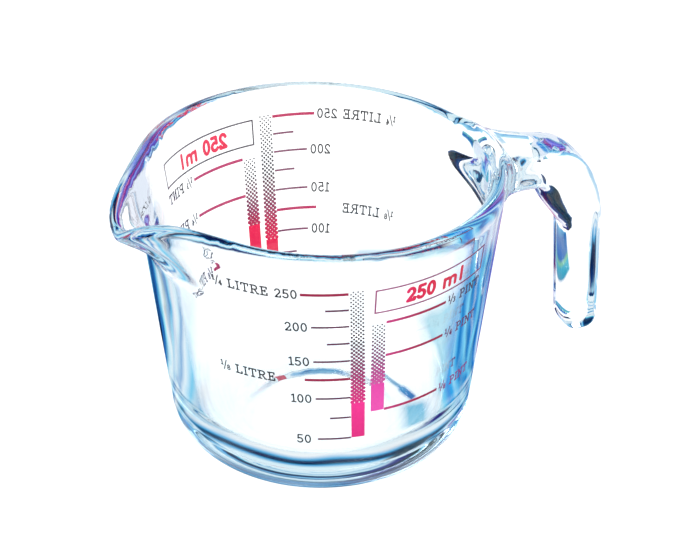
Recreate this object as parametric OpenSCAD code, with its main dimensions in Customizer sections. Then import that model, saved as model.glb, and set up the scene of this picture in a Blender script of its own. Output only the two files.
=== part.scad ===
// Quarter-litre measuring jug: pressed glass vessel, open hook handle, printed scales front and rear.
// Millimetres. Z up, foot on z = 0, body axis on Z, handle toward +X, spout toward -X.

/* [Jug] */
// height of the rim halfway between spout and handle
jug_h = 77; // [66:1:100]
// outside diameter of the upright rim band
rim_d = 92; // [84:1:120]
// slope of the outer wall, degrees from upright
wall_slope = 7.3; // [4:0.1:10]
// height of the upright band between the mould seam and the rim
rim_band = 4.8; // [3:0.1:8]
// how much the rim stands higher at the spout, and lower at the handle
rim_rise = 1.6; // [0:0.1:4]

/* [Glass] */
// glass thickness at the rim
wall_rim = 3.6; // [3:0.1:5]
// glass thickness of the wall at the level of the floor
wall_low = 5.9; // [4:0.1:8]
// glass thickness of the floor
floor_t = 5.3; // [4:0.1:9]
// outside radius between wall and foot
base_round = 13.5; // [8:0.1:16]
// inside radius between wall and floor
floor_round = 16; // [5:0.1:18]
// depth of the hollow under the foot
foot_hollow = 0.8; // [0.3:0.1:2]
// width of the flat ring that stands on the table
foot_ring = 3.2; // [2:0.1:8]

/* [Spout] */
// depth below the rim at which the lip starts to bend out
spout_depth = 17.3; // [12:0.1:22]
// radius of that bend on the outside of the glass
spout_bend = 8; // [4:0.1:14]
// angle through which the middle of the lip is bent, degrees
spout_tilt = 62; // [30:1:75]
// half width of the spout as an angle around the body
spout_half = 10.6; // [7:0.1:14]
// shape of the lip in plan, near 1 is pointed and 2 is round
spout_shape = 1.2; // [1:0.1:2.4]
// share of the bent length that the middle of the lip loses
spout_short = 0.1; // [0:0.01:0.3]

/* [Handle] */
// distance from the rim band out to the middle of the leg
handle_reach = 25.8; // [20:0.1:36]
// depth of the middle of the strap below the rim, at the wall
handle_below = 8.8; // [8:0.1:14]
// fall of the strap from the wall to the bend, degrees
strap_fall = 10; // [0:1:20]
// thickness of the strap
strap_t = 11.2; // [7:0.1:13]
// width of the strap where it enters the bend
strap_w = 15.6; // [12:0.1:18]
// width added where the strap runs into the wall
root_w = 11; // [6:0.1:14]
// thickness added where the strap runs into the wall
root_t = 2; // [1:0.1:4]
// how far the bend reaches out, along the middle of the handle
bend_out = 11.5; // [8:0.1:14]
// how far the bend reaches down, along the middle of the handle
bend_down = 18.8; // [12:0.1:24]
// thickness added inside the bend
bend_fill = 4; // [0:0.1:5]
// width of the leg
leg_w = 13.6; // [10:0.1:18]
// thickness of the leg, measured away from the body
leg_t = 10.1; // [8:0.1:13]
// height of the end of the leg above the table
leg_end = 13.4; // [6:0.1:30]
// squareness of the handle's section, 2 is an ellipse
section_n = 3.2; // [2:0.1:5]

/* [Print] */
// thickness of the fired enamel
ink_t = 0.1; // [0.05:0.01:0.3]
// bearing angle of the tick side of the front metric bar
print_at = -102.2; // [-115:0.1:-85]
// angle from the front print round to the rear print
print_turn = 187; // [175:0.5:190]
// lean of the front print, degrees of bearing for each millimetre of height
print_lean = -0.056; // [-0.1:0.002:0.1]
// width of a scale bar, degrees
bar_w = 4.8; // [3:0.1:7]
// space between the two bars, degrees
bar_gap = 2.1; // [1:0.1:4]
// thickness of the fine ticks
tick_fine = 0.5; // [0.3:0.05:1]
// thickness of the bold ticks
tick_bold = 0.75; // [0.4:0.05:1.5]
// how far the pint scale is printed above its true level
pint_lift = 1.9; // [0:0.1:3]
// width of the plain frame beside the metric bar, degrees
frame_w = 44.5; // [30:0.1:50]
// height of the plain frame
frame_h = 7.1; // [5:0.1:9]
// distance from the top pint mark up to the frame
frame_gap = 3.2; // [2:0.1:5]
// thickness of the frame's line
frame_line = 0.4; // [0.2:0.05:1]

/* [Hidden] */
$fn = 96;
// gap left under a film, so that it lies on the glass without cutting into it
lay = 0.02;
deg = 180 / PI;
rim_r = rim_d / 2;
seam_z = jug_h - rim_band;
flare_z = jug_h - spout_depth;
// run of the sloping side of the hollow under the foot
foot_side = 4;
strap_z = jug_h - handle_below;
leg_x = rim_r + handle_reach;

// the cone of the outside and the cone of the inside
function outer_r(z) = rim_r - tan(wall_slope) * (seam_z - z);
in_top = rim_r - wall_rim;
in_low = outer_r(floor_t) - wall_low;
in_slope = atan((in_top - in_low) / (jug_h - floor_t));
function inner_r(z) = in_top - tan(in_slope) * (jug_h - z);

// centres of the two base radii
base_c = [outer_r(base_round) - base_round / cos(wall_slope), base_round];
floor_c = [inner_r(floor_t + floor_round) - floor_round / cos(in_slope), floor_t + floor_round];

// graduations: levels at which the inside holds a volume, in millilitres
metric_marks = [50, 75, 100, 125, 150, 175, 200, 225, 250];
pint = 568.26;
pint_marks = [pint / 8, pint / 4, pint / 3];
function inside_r(z) = z < floor_c[1] - floor_round * sin(in_slope)
    ? floor_c[0] + sqrt(max(0, pow(floor_round, 2) - pow(floor_c[1] - z, 2)))
    : inner_r(z);
slices = 120;
function sum(v, i = 0) = i == len(v) ? 0 : v[i] + sum(v, i + 1);
function holds(z) = let (d = (z - floor_t) / slices)
    PI * d / 1000 * sum([for (i = [0:slices - 1]) pow(inside_r(floor_t + (i + 0.5) * d), 2)]);
function level(v, lo = floor_t, hi = seam_z, n = 16) = let (m = (lo + hi) / 2)
    n == 0 ? m : holds(m) < v ? level(v, m, hi, n - 1) : level(v, lo, m, n - 1);
metric_z = [for (v = metric_marks) level(v)];
pint_z = [for (v = pint_marks) level(v) + pint_lift];
mark_50 = metric_z[0];
mark_100 = metric_z[2];
mark_250 = metric_z[8];

// tick lengths in degrees, one for each metric mark, and bold where the mark is a fraction of a litre
tick_len = [12.0, 7.4, 12.0, 15.2, 12.0, 7.4, 12.0, 7.4, 14.7];
tick_is_bold = [0, 0, 0, 1, 0, 0, 0, 0, 1];
pint_len = 22.5;
// the solid foot of each bar; the rest of the bar is a halftone
metric_solid = mark_50 + 0.85 * (mark_100 - mark_50);
pint_solid = pint_z[0] + 0.5 * (pint_z[1] - pint_z[0]);
bar_over = 0.9;
// space between a tick and its bar, degrees, and the level at which the lean turns
tick_gap = 0.15;
print_mid = (mark_50 + mark_250) / 2;

// vessel: one column of points for each bearing, bent out and stretched near the spout
spout_reach = 40;
function fade(a, half) = exp(-(pow(a * a + 4, spout_shape / 2) - pow(2, spout_shape)) / pow(half, spout_shape));
function spout_w(a, half) = let (e = fade(spout_reach, half))
    abs(a) >= spout_reach ? 0 : (fade(a, half) - e) / (1 - e);
function lift(z, f) = z <= flare_z ? z : flare_z + (z - flare_z) * f;
function ring_arc(c, r, a0, a1, n) = [for (i = [0:n]) let (a = a0 + (a1 - a0) * i / n)
    [c[0] + r * cos(a), c[1] + r * sin(a)]];
wall_steps = 7;
function column(f) = let (
    zs = lift(seam_z, f),
    ro = outer_r(zs),
    zt = lift(jug_h, f),
    ri = inner_r(zt),
    lip = (ro - ri) / 2,
    zc = zt - lip)
    concat(
        ring_arc(base_c, base_round, -90, -wall_slope, 8),
        [for (i = [0:wall_steps]) let (z = flare_z + (zs - flare_z) * i / wall_steps) [outer_r(z), z]],
        [[ro, zc]],
        ring_arc([(ro + ri) / 2, zc], lip, 22.5, 157.5, 6),
        [for (i = [0:wall_steps]) let (z = zc + (flare_z - zc) * i / wall_steps) [inner_r(z), z]],
        ring_arc(floor_c, floor_round, -in_slope, -90, 8));
mid_bend = spout_bend + (outer_r(flare_z) - inner_r(flare_z)) / 2;
function bent(p, w, w2) = p[1] <= flare_z ? p : let (
    b = spout_tilt * w,
    t = (p[1] - flare_z) * (1 - spout_short * w2),
    bp = min(t / mid_bend * deg, b),
    over = max(0, t - mid_bend * b / deg),
    q = spout_bend - (p[0] - outer_r(flare_z)))
    [outer_r(flare_z) + spout_bend - q * cos(bp) + over * sin(b), flare_z + q * sin(bp) + over * cos(b)];
bearings = concat([for (a = [-30:2.5:30]) 180 + a], [for (a = [35:5:325]) 180 + a]);
function spout_angle(t) = let (a = (t - 180 + 540) % 360 - 180) a;
function section(t) = let (
    a = spout_angle(t),
    w = spout_w(a, spout_half),
    w2 = spout_w(a, spout_half * 1.38),
    f = 1 - rim_rise * cos(t) / spout_depth)
    [for (p = column(f)) bent(p, w, w2)];

// handle: superellipse rings along strap, bend and leg
bend_a = atan2(bend_down, bend_out * tan(strap_fall));
strap_end = leg_x - bend_out + bend_out * cos(bend_a);
function strap_mid(x) = strap_z - tan(strap_fall) * (x - rim_r);
bend_c = [leg_x - bend_out, strap_mid(strap_end) - bend_down * sin(bend_a)];
root_in = 5;
// how far from the wall the added width and thickness die away
root_run = 6;
root_drop = 4;
root_flat = 1;
function grow(x, d) = exp(-max(-root_flat, x - rim_r) / d);
function strap_ring(x) = [x, strap_mid(x), 90 - strap_fall,
    strap_w + root_w * grow(x, root_run), strap_t + root_t * grow(x, root_drop)];
cap = leg_t * 0.6;
leg_splay = 0.6;
leg_taper = 0.9;
leg_top = bend_c[1];
handle_rings = concat(
    [for (i = [0:12]) strap_ring(rim_r - root_in + (strap_end - rim_r + root_in) * i / 12)],
    [for (i = [1:12]) let (
        a = bend_a - bend_a * i / 12,
        n = atan2(bend_out * sin(a), bend_down * cos(a)),
        fill = bend_fill * sin(180 * i / 12),
        x = bend_c[0] + bend_out * cos(a) - fill / 2 * cos(n))
        [x, bend_c[1] + bend_down * sin(a) - fill / 2 * sin(n), n,
         strap_w + (leg_w - strap_w) * i / 12 + root_w * grow(x, root_run),
         strap_t + (leg_t - strap_t) * i / 12 + fill]],
    [for (i = [1:4]) [leg_x + leg_splay * i / 4, leg_top + (leg_end + cap - leg_top) * i / 4, 0,
        leg_w - leg_taper * i / 4, leg_t - leg_taper * i / 4]],
    [for (i = [1:6]) let (a = 84 * i / 6, k = 0.2 + 0.8 * cos(a))
        [leg_x + leg_splay, leg_end + cap * (1 - sin(a)), 0, (leg_w - leg_taper) * k, (leg_t - leg_taper) * k]]);
corners = 24;
function super(c) = sign(c) * pow(abs(c), 2 / section_n);
function ring_points(h) = [for (k = [0:corners - 1]) let (
    u = super(cos(360 * k / corners)) * h[3] / 2,
    v = super(sin(360 * k / corners)) * h[4] / 2)
    [h[0] + v * cos(h[2]), u, h[1] + v * sin(h[2])]];

glass = [0.74, 0.90, 0.94, 0.55];
crimson = [0.84, 0.07, 0.34];
pink = [0.94, 0.42, 0.66];
grey = [0.34, 0.30, 0.36];
rear_at = print_at + print_turn;
pint_at = print_at + bar_w + bar_gap;

// pressed glass body with foot, upright rim band and bent-out spout
module vessel() {
    cols = [for (t = bearings) section(t)];
    m = len(bearings);
    n = len(cols[0]);
    points = concat([[0, 0, 0], [0, 0, floor_t]],
        [for (j = [0:m - 1]) for (p = cols[j]) [p[0] * cos(bearings[j]), p[0] * sin(bearings[j]), p[1]]]);
    function at(j, i) = 2 + (j % m) * n + i;
    faces = concat(
        [for (j = [0:m - 1]) [0, at(j, 0), at(j + 1, 0)]],
        [for (j = [0:m - 1]) [at(j, n - 1), 1, at(j + 1, n - 1)]],
        [for (j = [0:m - 1]) for (i = [0:n - 2]) [at(j, i), at(j, i + 1), at(j + 1, i + 1)]],
        [for (j = [0:m - 1]) for (i = [0:n - 2]) [at(j, i), at(j + 1, i + 1), at(j + 1, i)]]);
    foot_in = base_c[0] - foot_ring;
    under = foot_hollow;
    color(glass) difference() {
        polyhedron(points, faces);
        translate([0, 0, -under]) cylinder(h = under + foot_hollow, r1 = foot_in + foot_side, r2 = foot_in - foot_side);
    }
}

// outside of the body on the handle's side, as a turned solid
module handle_seat() {
    zs = lift(seam_z, 1 - rim_rise / spout_depth);
    rotate_extrude() polygon([[0, 0], [outer_r(0), 0], [outer_r(zs), zs], [outer_r(zs), jug_h], [0, jug_h]]);
}

// hook handle, open below, seated on the outside of the wall
module handle() {
    m = len(handle_rings);
    points = [for (h = handle_rings) each ring_points(h)];
    function at(j, k) = j * corners + k % corners;
    faces = concat(
        [for (k = [1:corners - 2]) [at(0, 0), at(0, k + 1), at(0, k)]],
        [for (k = [1:corners - 2]) [at(m - 1, 0), at(m - 1, k), at(m - 1, k + 1)]],
        [for (j = [0:m - 2]) for (k = [0:corners - 1]) [at(j, k), at(j, k + 1), at(j + 1, k + 1)]],
        [for (j = [0:m - 2]) for (k = [0:corners - 1]) [at(j, k), at(j + 1, k + 1), at(j + 1, k)]]);
    color(glass) difference() {
        polyhedron(points, faces);
        handle_seat();
    }
}

// one patch of enamel on the cone of the wall, between two levels and two bearings
module film(z0, z1, a0, a1) {
    r0 = outer_r(z0) + lay;
    r1 = outer_r(z1) + lay;
    rotate([0, 0, a0]) rotate_extrude(angle = a1 - a0)
        polygon([[r0, z0], [r0 + ink_t, z0], [r1 + ink_t, z1], [r1, z1]]);
}

// a bar whose sides lean, cut out of a ring of enamel
module bar(z0, z1, at, lean) {
    mid = at + bar_w / 2;
    function side(z, a) = [outer_r(z) * sin(a + lean * (z - print_mid)), z];
    intersection() {
        film(z0, z1, mid - 2 * bar_w, mid + 2 * bar_w);
        rotate([0, 0, mid]) rotate([90, 0, 90]) linear_extrude(rim_d) polygon([
            side(z0, -bar_w / 2), side(z0, bar_w / 2), side(z1, bar_w / 2), side(z1, -bar_w / 2)]);
    }
}

module metric_ticks(at, lean) for (i = [0:len(metric_marks) - 1]) {
    w = tick_is_bold[i] ? tick_bold : tick_fine;
    end = at + lean * (metric_z[i] - print_mid);
    film(metric_z[i] - w / 2, metric_z[i] + w / 2, end - tick_len[i], end - tick_gap);
}

module pint_ticks(at, lean) for (z = pint_z) {
    start = at + bar_w + lean * (z - print_mid);
    film(z - tick_bold / 2, z + tick_bold / 2, start + tick_gap, start + pint_len);
}

module plain_frame(at) {
    low = pint_z[2] + frame_gap;
    top = low + frame_h;
    end = frame_line / outer_r(top) * deg;
    z0 = low + frame_line;
    z1 = top - frame_line;
    difference() {
        film(low, top, at, at + frame_w);
        rotate([0, 0, at + end]) rotate_extrude(angle = frame_w - 2 * end) polygon([
            [outer_r(z0) - 1, z0], [outer_r(z0) + 1, z0], [outer_r(z1) + 1, z1], [outer_r(z1) - 1, z1]]);
    }
}

module front_metric_bar() color(crimson) bar(mark_50, metric_solid, print_at, print_lean);
module front_metric_halftone() color(pink) bar(metric_solid, mark_250 + bar_over, print_at, print_lean);
module front_metric_ticks() color(crimson) metric_ticks(print_at, print_lean);
module front_pint_bar() color(crimson) bar(pint_z[0], pint_solid, pint_at, print_lean);
module front_pint_halftone() color(pink) bar(pint_solid, pint_z[2], pint_at, print_lean);
module front_pint_ticks() color(crimson) pint_ticks(pint_at, print_lean);
module front_frame() color(grey) plain_frame(pint_at);

module rear_metric_bar() color(crimson) bar(mark_50, metric_solid, rear_at, 0);
module rear_metric_halftone() color(pink) bar(metric_solid, mark_250 + bar_over, rear_at, 0);
module rear_metric_ticks() color(crimson) metric_ticks(rear_at, 0);
module rear_pint_bar() color(crimson) bar(pint_z[0], pint_solid, rear_at + bar_w + bar_gap, 0);
module rear_pint_halftone() color(pink) bar(pint_solid, pint_z[2], rear_at + bar_w + bar_gap, 0);
module rear_pint_ticks() color(crimson) pint_ticks(rear_at + bar_w + bar_gap, 0);
module rear_frame() color(grey) plain_frame(rear_at + bar_w + bar_gap);

vessel();
handle();
front_metric_bar();
front_metric_halftone();
front_metric_ticks();
front_pint_bar();
front_pint_halftone();
front_pint_ticks();
front_frame();
rear_metric_bar();
rear_metric_halftone();
rear_metric_ticks();
rear_pint_bar();
rear_pint_halftone();
rear_pint_ticks();
rear_frame();
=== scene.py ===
# %% [markdown]
# # A quarter-litre measuring jug
# The real jug is one pressing of clear glass: a round body, a pouring lip bent out of its rim,
# and a hook of glass for a handle. Two scales are fired onto the outside as enamel.
# This lesson loads the jug's solids as a fixed frame, dresses them in glass and enamel,
# and then sets up floor, light and camera. Sizes are in millimetres until a mesh is made.

# %% Load the frame
import math

import bpy
import numpy as np
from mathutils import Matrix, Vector


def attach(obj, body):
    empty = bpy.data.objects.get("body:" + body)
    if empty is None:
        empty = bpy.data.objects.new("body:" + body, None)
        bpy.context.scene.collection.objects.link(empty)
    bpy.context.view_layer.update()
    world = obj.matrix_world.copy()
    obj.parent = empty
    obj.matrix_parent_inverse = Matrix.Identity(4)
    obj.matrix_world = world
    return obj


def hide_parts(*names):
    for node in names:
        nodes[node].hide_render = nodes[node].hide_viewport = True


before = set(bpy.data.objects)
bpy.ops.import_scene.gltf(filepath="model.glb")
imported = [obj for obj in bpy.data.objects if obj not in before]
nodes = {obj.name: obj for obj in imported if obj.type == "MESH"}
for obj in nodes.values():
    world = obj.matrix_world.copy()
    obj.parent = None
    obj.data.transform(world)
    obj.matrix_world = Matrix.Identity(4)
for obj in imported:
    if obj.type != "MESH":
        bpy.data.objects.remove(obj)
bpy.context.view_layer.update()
scene = bpy.context.scene
scene.view_settings.view_transform = "Standard"
MM = 0.001

# %% [markdown]
# ## Camera
# The camera comes first, so that every later look is taken from the photograph's own place.
# Its distance and lens were worked out from the rim, which is a circle and shows as an ellipse.
# A long lens from under a metre away gives the mild perspective of a product photograph.

# %% Camera
VIEW_TURN, VIEW_RISE, VIEW_FAR = -22.0, 31.8, 0.7798
AIM = Vector((0, 0, 0.0416))
PICTURE_W, PICTURE_H, FOCUS_PX, SENSOR = 700, 560, 3082, 36.0
AXIS_PX = Vector((320.5, 286.5))

turn, rise = math.radians(VIEW_TURN), math.radians(VIEW_RISE)
back = Vector((math.sin(turn) * math.cos(rise), -math.cos(turn) * math.cos(rise), math.sin(rise)))
camera = bpy.data.objects.new("camera", bpy.data.cameras.new("camera"))
scene.collection.objects.link(camera)
camera.location = AIM + back * VIEW_FAR
camera.rotation_euler = (-back).to_track_quat("-Z", "Y").to_euler()
camera.data.sensor_width = SENSOR
camera.data.lens = SENSOR * FOCUS_PX / PICTURE_W
camera.data.shift_x = (PICTURE_W / 2 - AXIS_PX.x) / PICTURE_W
camera.data.shift_y = (AXIS_PX.y - PICTURE_H / 2) / PICTURE_W
scene.camera = camera
print("lens", round(camera.data.lens, 1), "mm, shift",
      round(camera.data.shift_x, 3), round(camera.data.shift_y, 3))

# %% [markdown]
# ## Small helpers
# Colours are written as they look on a screen, and one function turns them into the linear
# values that shaders want. Another adds one node with its settings and its links.

# %% Helpers for colours and nodes
BLACK, WHITE = "#000000", "#FFFFFF"


def ink(code):
    """Linear colour with alpha from an sRGB hex value."""
    parts = [int(code[i:i + 2], 16) / 255 for i in (1, 3, 5)]
    return tuple(c / 12.92 if c <= 0.04045 else ((c + 0.055) / 1.055) ** 2.4 for c in parts) + (1.0,)


def add(tree, kind, inputs=None, **settings):
    """One node with its settings; an input is a value or another node's output."""
    made = tree.nodes.new(kind)
    for name, value in settings.items():
        setattr(made, name, value)
    for socket, value in (inputs or {}).items():
        if isinstance(value, bpy.types.NodeSocket):
            tree.links.new(value, made.inputs[socket])
        else:
            made.inputs[socket].default_value = value
    return made


def maths(tree, operation, *values):
    """Output of one Math node."""
    return add(tree, "ShaderNodeMath", dict(enumerate(values)), operation=operation).outputs[0]


def stops(ramp, *pairs):
    """Sets a colour ramp to (place, hex) pairs."""
    band = ramp.color_ramp
    while len(band.elements) < len(pairs):
        band.elements.new(0.5)
    for element, (place, code) in zip(band.elements, pairs):
        element.position = place
        element.color = ink(code)
    return ramp


def run_of(tree, value, *run):
    """Colour that follows a value, given as (value, hex) pairs in rising order."""
    low, high = run[0][0], run[-1][0]
    place = add(tree, "ShaderNodeMapRange", {"Value": value, "From Min": low, "From Max": high})
    ramp = add(tree, "ShaderNodeValToRGB", {"Fac": place.outputs[0]})
    return stops(ramp, *[((at - low) / (high - low), code) for at, code in run]).outputs[0]


def window(tree, value, *edges):
    """White between the middle two of four values and black past the outer two; two values make one edge."""
    return run_of(tree, value, *zip(edges, (BLACK, WHITE, WHITE, BLACK)))


def over(tree, share, under, top):
    """Colour of one layer laid over another, by a share from 0 to 1."""
    return add(tree, "ShaderNodeMix", {0: share, 6: under, 7: top}, data_type="RGBA").outputs[2]


def new_material(name):
    """A material and its node tree, still empty."""
    material = bpy.data.materials.new(name)
    material.use_nodes = True
    material.node_tree.nodes.clear()
    return material, material.node_tree


def piece(name, points, faces, material):
    """A mesh piece from points in millimetres, riding on the jug's one body."""
    mesh = bpy.data.meshes.new(name)
    mesh.from_pydata((np.asarray(points) * MM).tolist(), [], faces)
    mesh.update()
    mesh.materials.append(material)
    made = bpy.data.objects.new(name, mesh)
    scene.collection.objects.link(made)
    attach(made, "root")
    return made


# %% [markdown]
# ## Sizes of the jug
# The same values as the solids have: two cones for the wall, two radii at the base,
# an upright rim band above the mould seam, and a lip that bends out over forty degrees.

# %% Sizes of the jug
JUG_H, RIM_R, WALL_SLOPE, RIM_BAND, RIM_RISE = 77.0, 46.0, 7.3, 4.8, 1.6
WALL_RIM, WALL_LOW, FLOOR_T, BASE_ROUND, FLOOR_ROUND = 3.6, 5.9, 5.3, 13.5, 16.0
FOOT_HOLLOW, FOOT_RING, FOOT_SIDE = 0.8, 3.2, 4.0
SPOUT_DEPTH, SPOUT_BEND, SPOUT_TILT, SPOUT_HALF = 17.3, 8.0, 62.0, 10.6
SPOUT_SHAPE, SPOUT_SOFT, SPOUT_SHORT, SPOUT_REACH = 1.2, 2.0, 0.1, 40.0
SEAM_Z, FLARE_Z = JUG_H - RIM_BAND, JUG_H - SPOUT_DEPTH
LEAN = math.tan(math.radians(WALL_SLOPE))


def outer_r(z):
    """Radius of the outside cone at a height."""
    return RIM_R - LEAN * (SEAM_Z - z)


IN_TOP = RIM_R - WALL_RIM
IN_LEAN = (IN_TOP - (outer_r(FLOOR_T) - WALL_LOW)) / (JUG_H - FLOOR_T)


def inner_r(z):
    """Radius of the inside cone at a height."""
    return IN_TOP - IN_LEAN * (JUG_H - z)


print("wall where the base's radius ends", round(outer_r(BASE_ROUND) - inner_r(BASE_ROUND), 2),
      "mm, at the rim", WALL_RIM, "mm")

# %% [markdown]
# ## The glass as a distance field
# On the real jug nothing separates body and handle: the handle grows out of the wall through a
# soft fillet, and glass shows every crease. A boolean of two meshes would leave a hard line.
# So the glass is described by a field, which gives the distance from any point to the glass
# surface, negative inside. Two fields blend softly into one, and a skin is then drawn where
# the field is zero. The wall is a turned profile of straight lines and arcs.

# %% Profile of the wall as lines and arcs
BASE_C = (outer_r(BASE_ROUND) - BASE_ROUND / math.cos(math.radians(WALL_SLOPE)), BASE_ROUND)
IN_SLOPE = math.atan(IN_LEAN)
FLOOR_C = (inner_r(FLOOR_T + FLOOR_ROUND) - FLOOR_ROUND / math.cos(IN_SLOPE), FLOOR_T + FLOOR_ROUND)
LIP = WALL_RIM / 2
LIP_C = (RIM_R - LIP, JUG_H - LIP)
FOOT_IN = BASE_C[0] - FOOT_RING
PAST_AXIS = -60.0


def to_line(r, z, a, b):
    """Distance to the straight line between two points."""
    ex, ez = b[0] - a[0], b[1] - a[1]
    s = np.clip(((r - a[0]) * ex + (z - a[1]) * ez) / (ex * ex + ez * ez), 0, 1)
    return np.hypot(r - a[0] - s * ex, z - a[1] - s * ez)


def to_arc(r, z, centre, radius, low, high):
    """Distance to an arc between two angles, given in radians from the outward direction."""
    bearing = np.arctan2(z - centre[1], r - centre[0])
    middle, half = (low + high) / 2, (high - low) / 2
    off = np.abs((bearing - middle + math.pi) % (2 * math.pi) - math.pi)
    near = np.abs(np.hypot(r - centre[0], z - centre[1]) - radius)
    ends = [np.hypot(r - centre[0] - radius * math.cos(a), z - centre[1] - radius * math.sin(a))
            for a in (low, high)]
    return np.where(off <= half, near, np.minimum(*ends))


def wall_profile(r, z):
    """Signed distance to the turned profile of body, floor and rim, before the lip is bent."""
    slope = math.radians(WALL_SLOPE)
    seam, base_top = (RIM_R, SEAM_Z), BASE_C[1] - BASE_ROUND * math.sin(slope)
    floor_top = FLOOR_C[1] - FLOOR_ROUND * math.sin(IN_SLOPE)
    floor_r = inner_r(floor_top)
    gap = np.minimum.reduce([
        to_line(r, z, (PAST_AXIS, FOOT_HOLLOW), (FOOT_IN - FOOT_SIDE, FOOT_HOLLOW)),
        to_line(r, z, (FOOT_IN - FOOT_SIDE, FOOT_HOLLOW), (FOOT_IN, 0)),
        to_line(r, z, (FOOT_IN, 0), (BASE_C[0], 0)),
        to_arc(r, z, BASE_C, BASE_ROUND, -math.pi / 2, -slope),
        to_line(r, z, (outer_r(base_top), base_top), seam),
        to_line(r, z, seam, (RIM_R, LIP_C[1])),
        to_arc(r, z, LIP_C, LIP, 0, math.pi),
        to_line(r, z, (IN_TOP, LIP_C[1]), (floor_r, floor_top)),
        to_arc(r, z, FLOOR_C, FLOOR_ROUND, -math.pi / 2, -IN_SLOPE),
        to_line(r, z, (FLOOR_C[0], FLOOR_T), (PAST_AXIS, FLOOR_T)),
    ])
    root = np.sqrt(np.maximum(0, BASE_ROUND ** 2 - (BASE_ROUND - z) ** 2))
    outside = np.where(z < base_top, BASE_C[0] + root, np.minimum(outer_r(z), RIM_R))
    root = np.sqrt(np.maximum(0, FLOOR_ROUND ** 2 - (FLOOR_C[1] - z) ** 2))
    wall = floor_r + (IN_TOP - floor_r) * (z - floor_top) / (LIP_C[1] - floor_top)
    inside = np.where(z < floor_top, FLOOR_C[0] + root, wall)
    under = np.clip((FOOT_IN - r) / FOOT_SIDE, 0, 1) * FOOT_HOLLOW
    glass = (z > under) & (r < outside) & ((z < FLOOR_T) | (r > inside))
    rim = (z < LIP_C[1]) | (np.hypot(r - LIP_C[0], z - LIP_C[1]) < LIP)
    return np.where(glass & rim, -gap, gap)


print("profile: a point inside the wall at half height",
      wall_profile(np.array([outer_r(JUG_H / 2) - WALL_RIM / 2]), np.array([JUG_H / 2])).round(2), "mm")

# %% [markdown]
# ## The pouring lip
# A jug's lip is pulled out of the hot rim. It is made here by bending the upper wall outwards
# about an axis that lies outside the glass, most in the middle of the lip and not at all
# forty degrees to either side. The print has to follow the same bend, so the rule is kept
# both ways: forwards for points on the wall, backwards for the field.

# %% Bend of the pouring lip
FLARE_R = outer_r(FLARE_Z)
MID_BEND = SPOUT_BEND + (FLARE_R - inner_r(FLARE_Z)) / 2
SHORT_HALF = SPOUT_HALF * 1.38


def fade(angle, half):
    """A rounded peak: 1 in the middle of the lip, falling off to both sides."""
    away = (angle ** 2 + SPOUT_SOFT ** 2) ** (SPOUT_SHAPE / 2) - SPOUT_SOFT ** SPOUT_SHAPE
    return np.exp(-away / half ** SPOUT_SHAPE)


def share(angle, half):
    """How much of the bend is left at an angle from the middle of the lip."""
    end = fade(SPOUT_REACH, half)
    return np.maximum(0, np.where(np.abs(angle) < SPOUT_REACH, (fade(angle, half) - end) / (1 - end), 0))


def lip_rule(bearing):
    """Bend in radians, stretch of the bent length and stretch of the rim's rise, for bearings in degrees."""
    angle = bearing % 360 - 180
    tilt = math.radians(SPOUT_TILT) * share(angle, SPOUT_HALF)
    stretch = 1 - SPOUT_SHORT * share(angle, SHORT_HALF)
    rise_by = 1 - RIM_RISE * np.cos(np.radians(bearing)) / SPOUT_DEPTH
    return tilt, stretch, rise_by


def bend_out(r, z, bearing):
    """A point of the plain wall, carried to its place on the bent one."""
    tilt, stretch, _ = lip_rule(bearing)
    run = np.maximum(0, z - FLARE_Z) * stretch
    part = np.minimum(run / MID_BEND, tilt)
    rest = np.maximum(0, run - MID_BEND * tilt)
    arm = SPOUT_BEND - (r - FLARE_R)
    high = z > FLARE_Z
    return (np.where(high, FLARE_R + SPOUT_BEND - arm * np.cos(part) + rest * np.sin(tilt), r),
            np.where(high, FLARE_Z + arm * np.sin(part) + rest * np.cos(tilt), z))


def bend_back(r, z, bearing):
    """The plain wall's point for a point in space, with the rim's rise taken out too."""
    tilt, stretch, rise_by = lip_rule(bearing)
    dr, dz = FLARE_R + SPOUT_BEND - r, z - FLARE_Z
    swing = np.arctan2(dz, dr)
    past = swing > tilt
    arm = np.where(past, dr * np.cos(tilt) + dz * np.sin(tilt), np.hypot(dr, dz))
    run = np.where(past, MID_BEND * tilt + dz * np.cos(tilt) - dr * np.sin(tilt), MID_BEND * swing)
    high = dz > 0
    r1 = np.where(high, FLARE_R + SPOUT_BEND - arm, r)
    z1 = np.where(high, FLARE_Z + run / stretch, z)
    z2 = np.where(high, FLARE_Z + (z1 - FLARE_Z) / rise_by, z1)
    seam_here = FLARE_Z + (SEAM_Z - FLARE_Z) * rise_by
    return r1 + outer_r(np.minimum(z2, SEAM_Z)) - outer_r(np.minimum(z1, seam_here)), z2


tip = bend_out(np.array([RIM_R]), np.array([JUG_H + RIM_RISE]), np.array([180.0]))
print("tip of the lip: radius", tip[0].round(1), "mm, height", tip[1].round(1), "mm")

# %% [markdown]
# ## The hook handle
# The handle is a strap that leaves the wall under the rim, turns down through a long bend and
# ends in a round tip well above the table. Its section is a rounded oblong, which changes
# along the way. The field looks up the nearest station on the handle's middle line and
# measures the section there.

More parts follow.
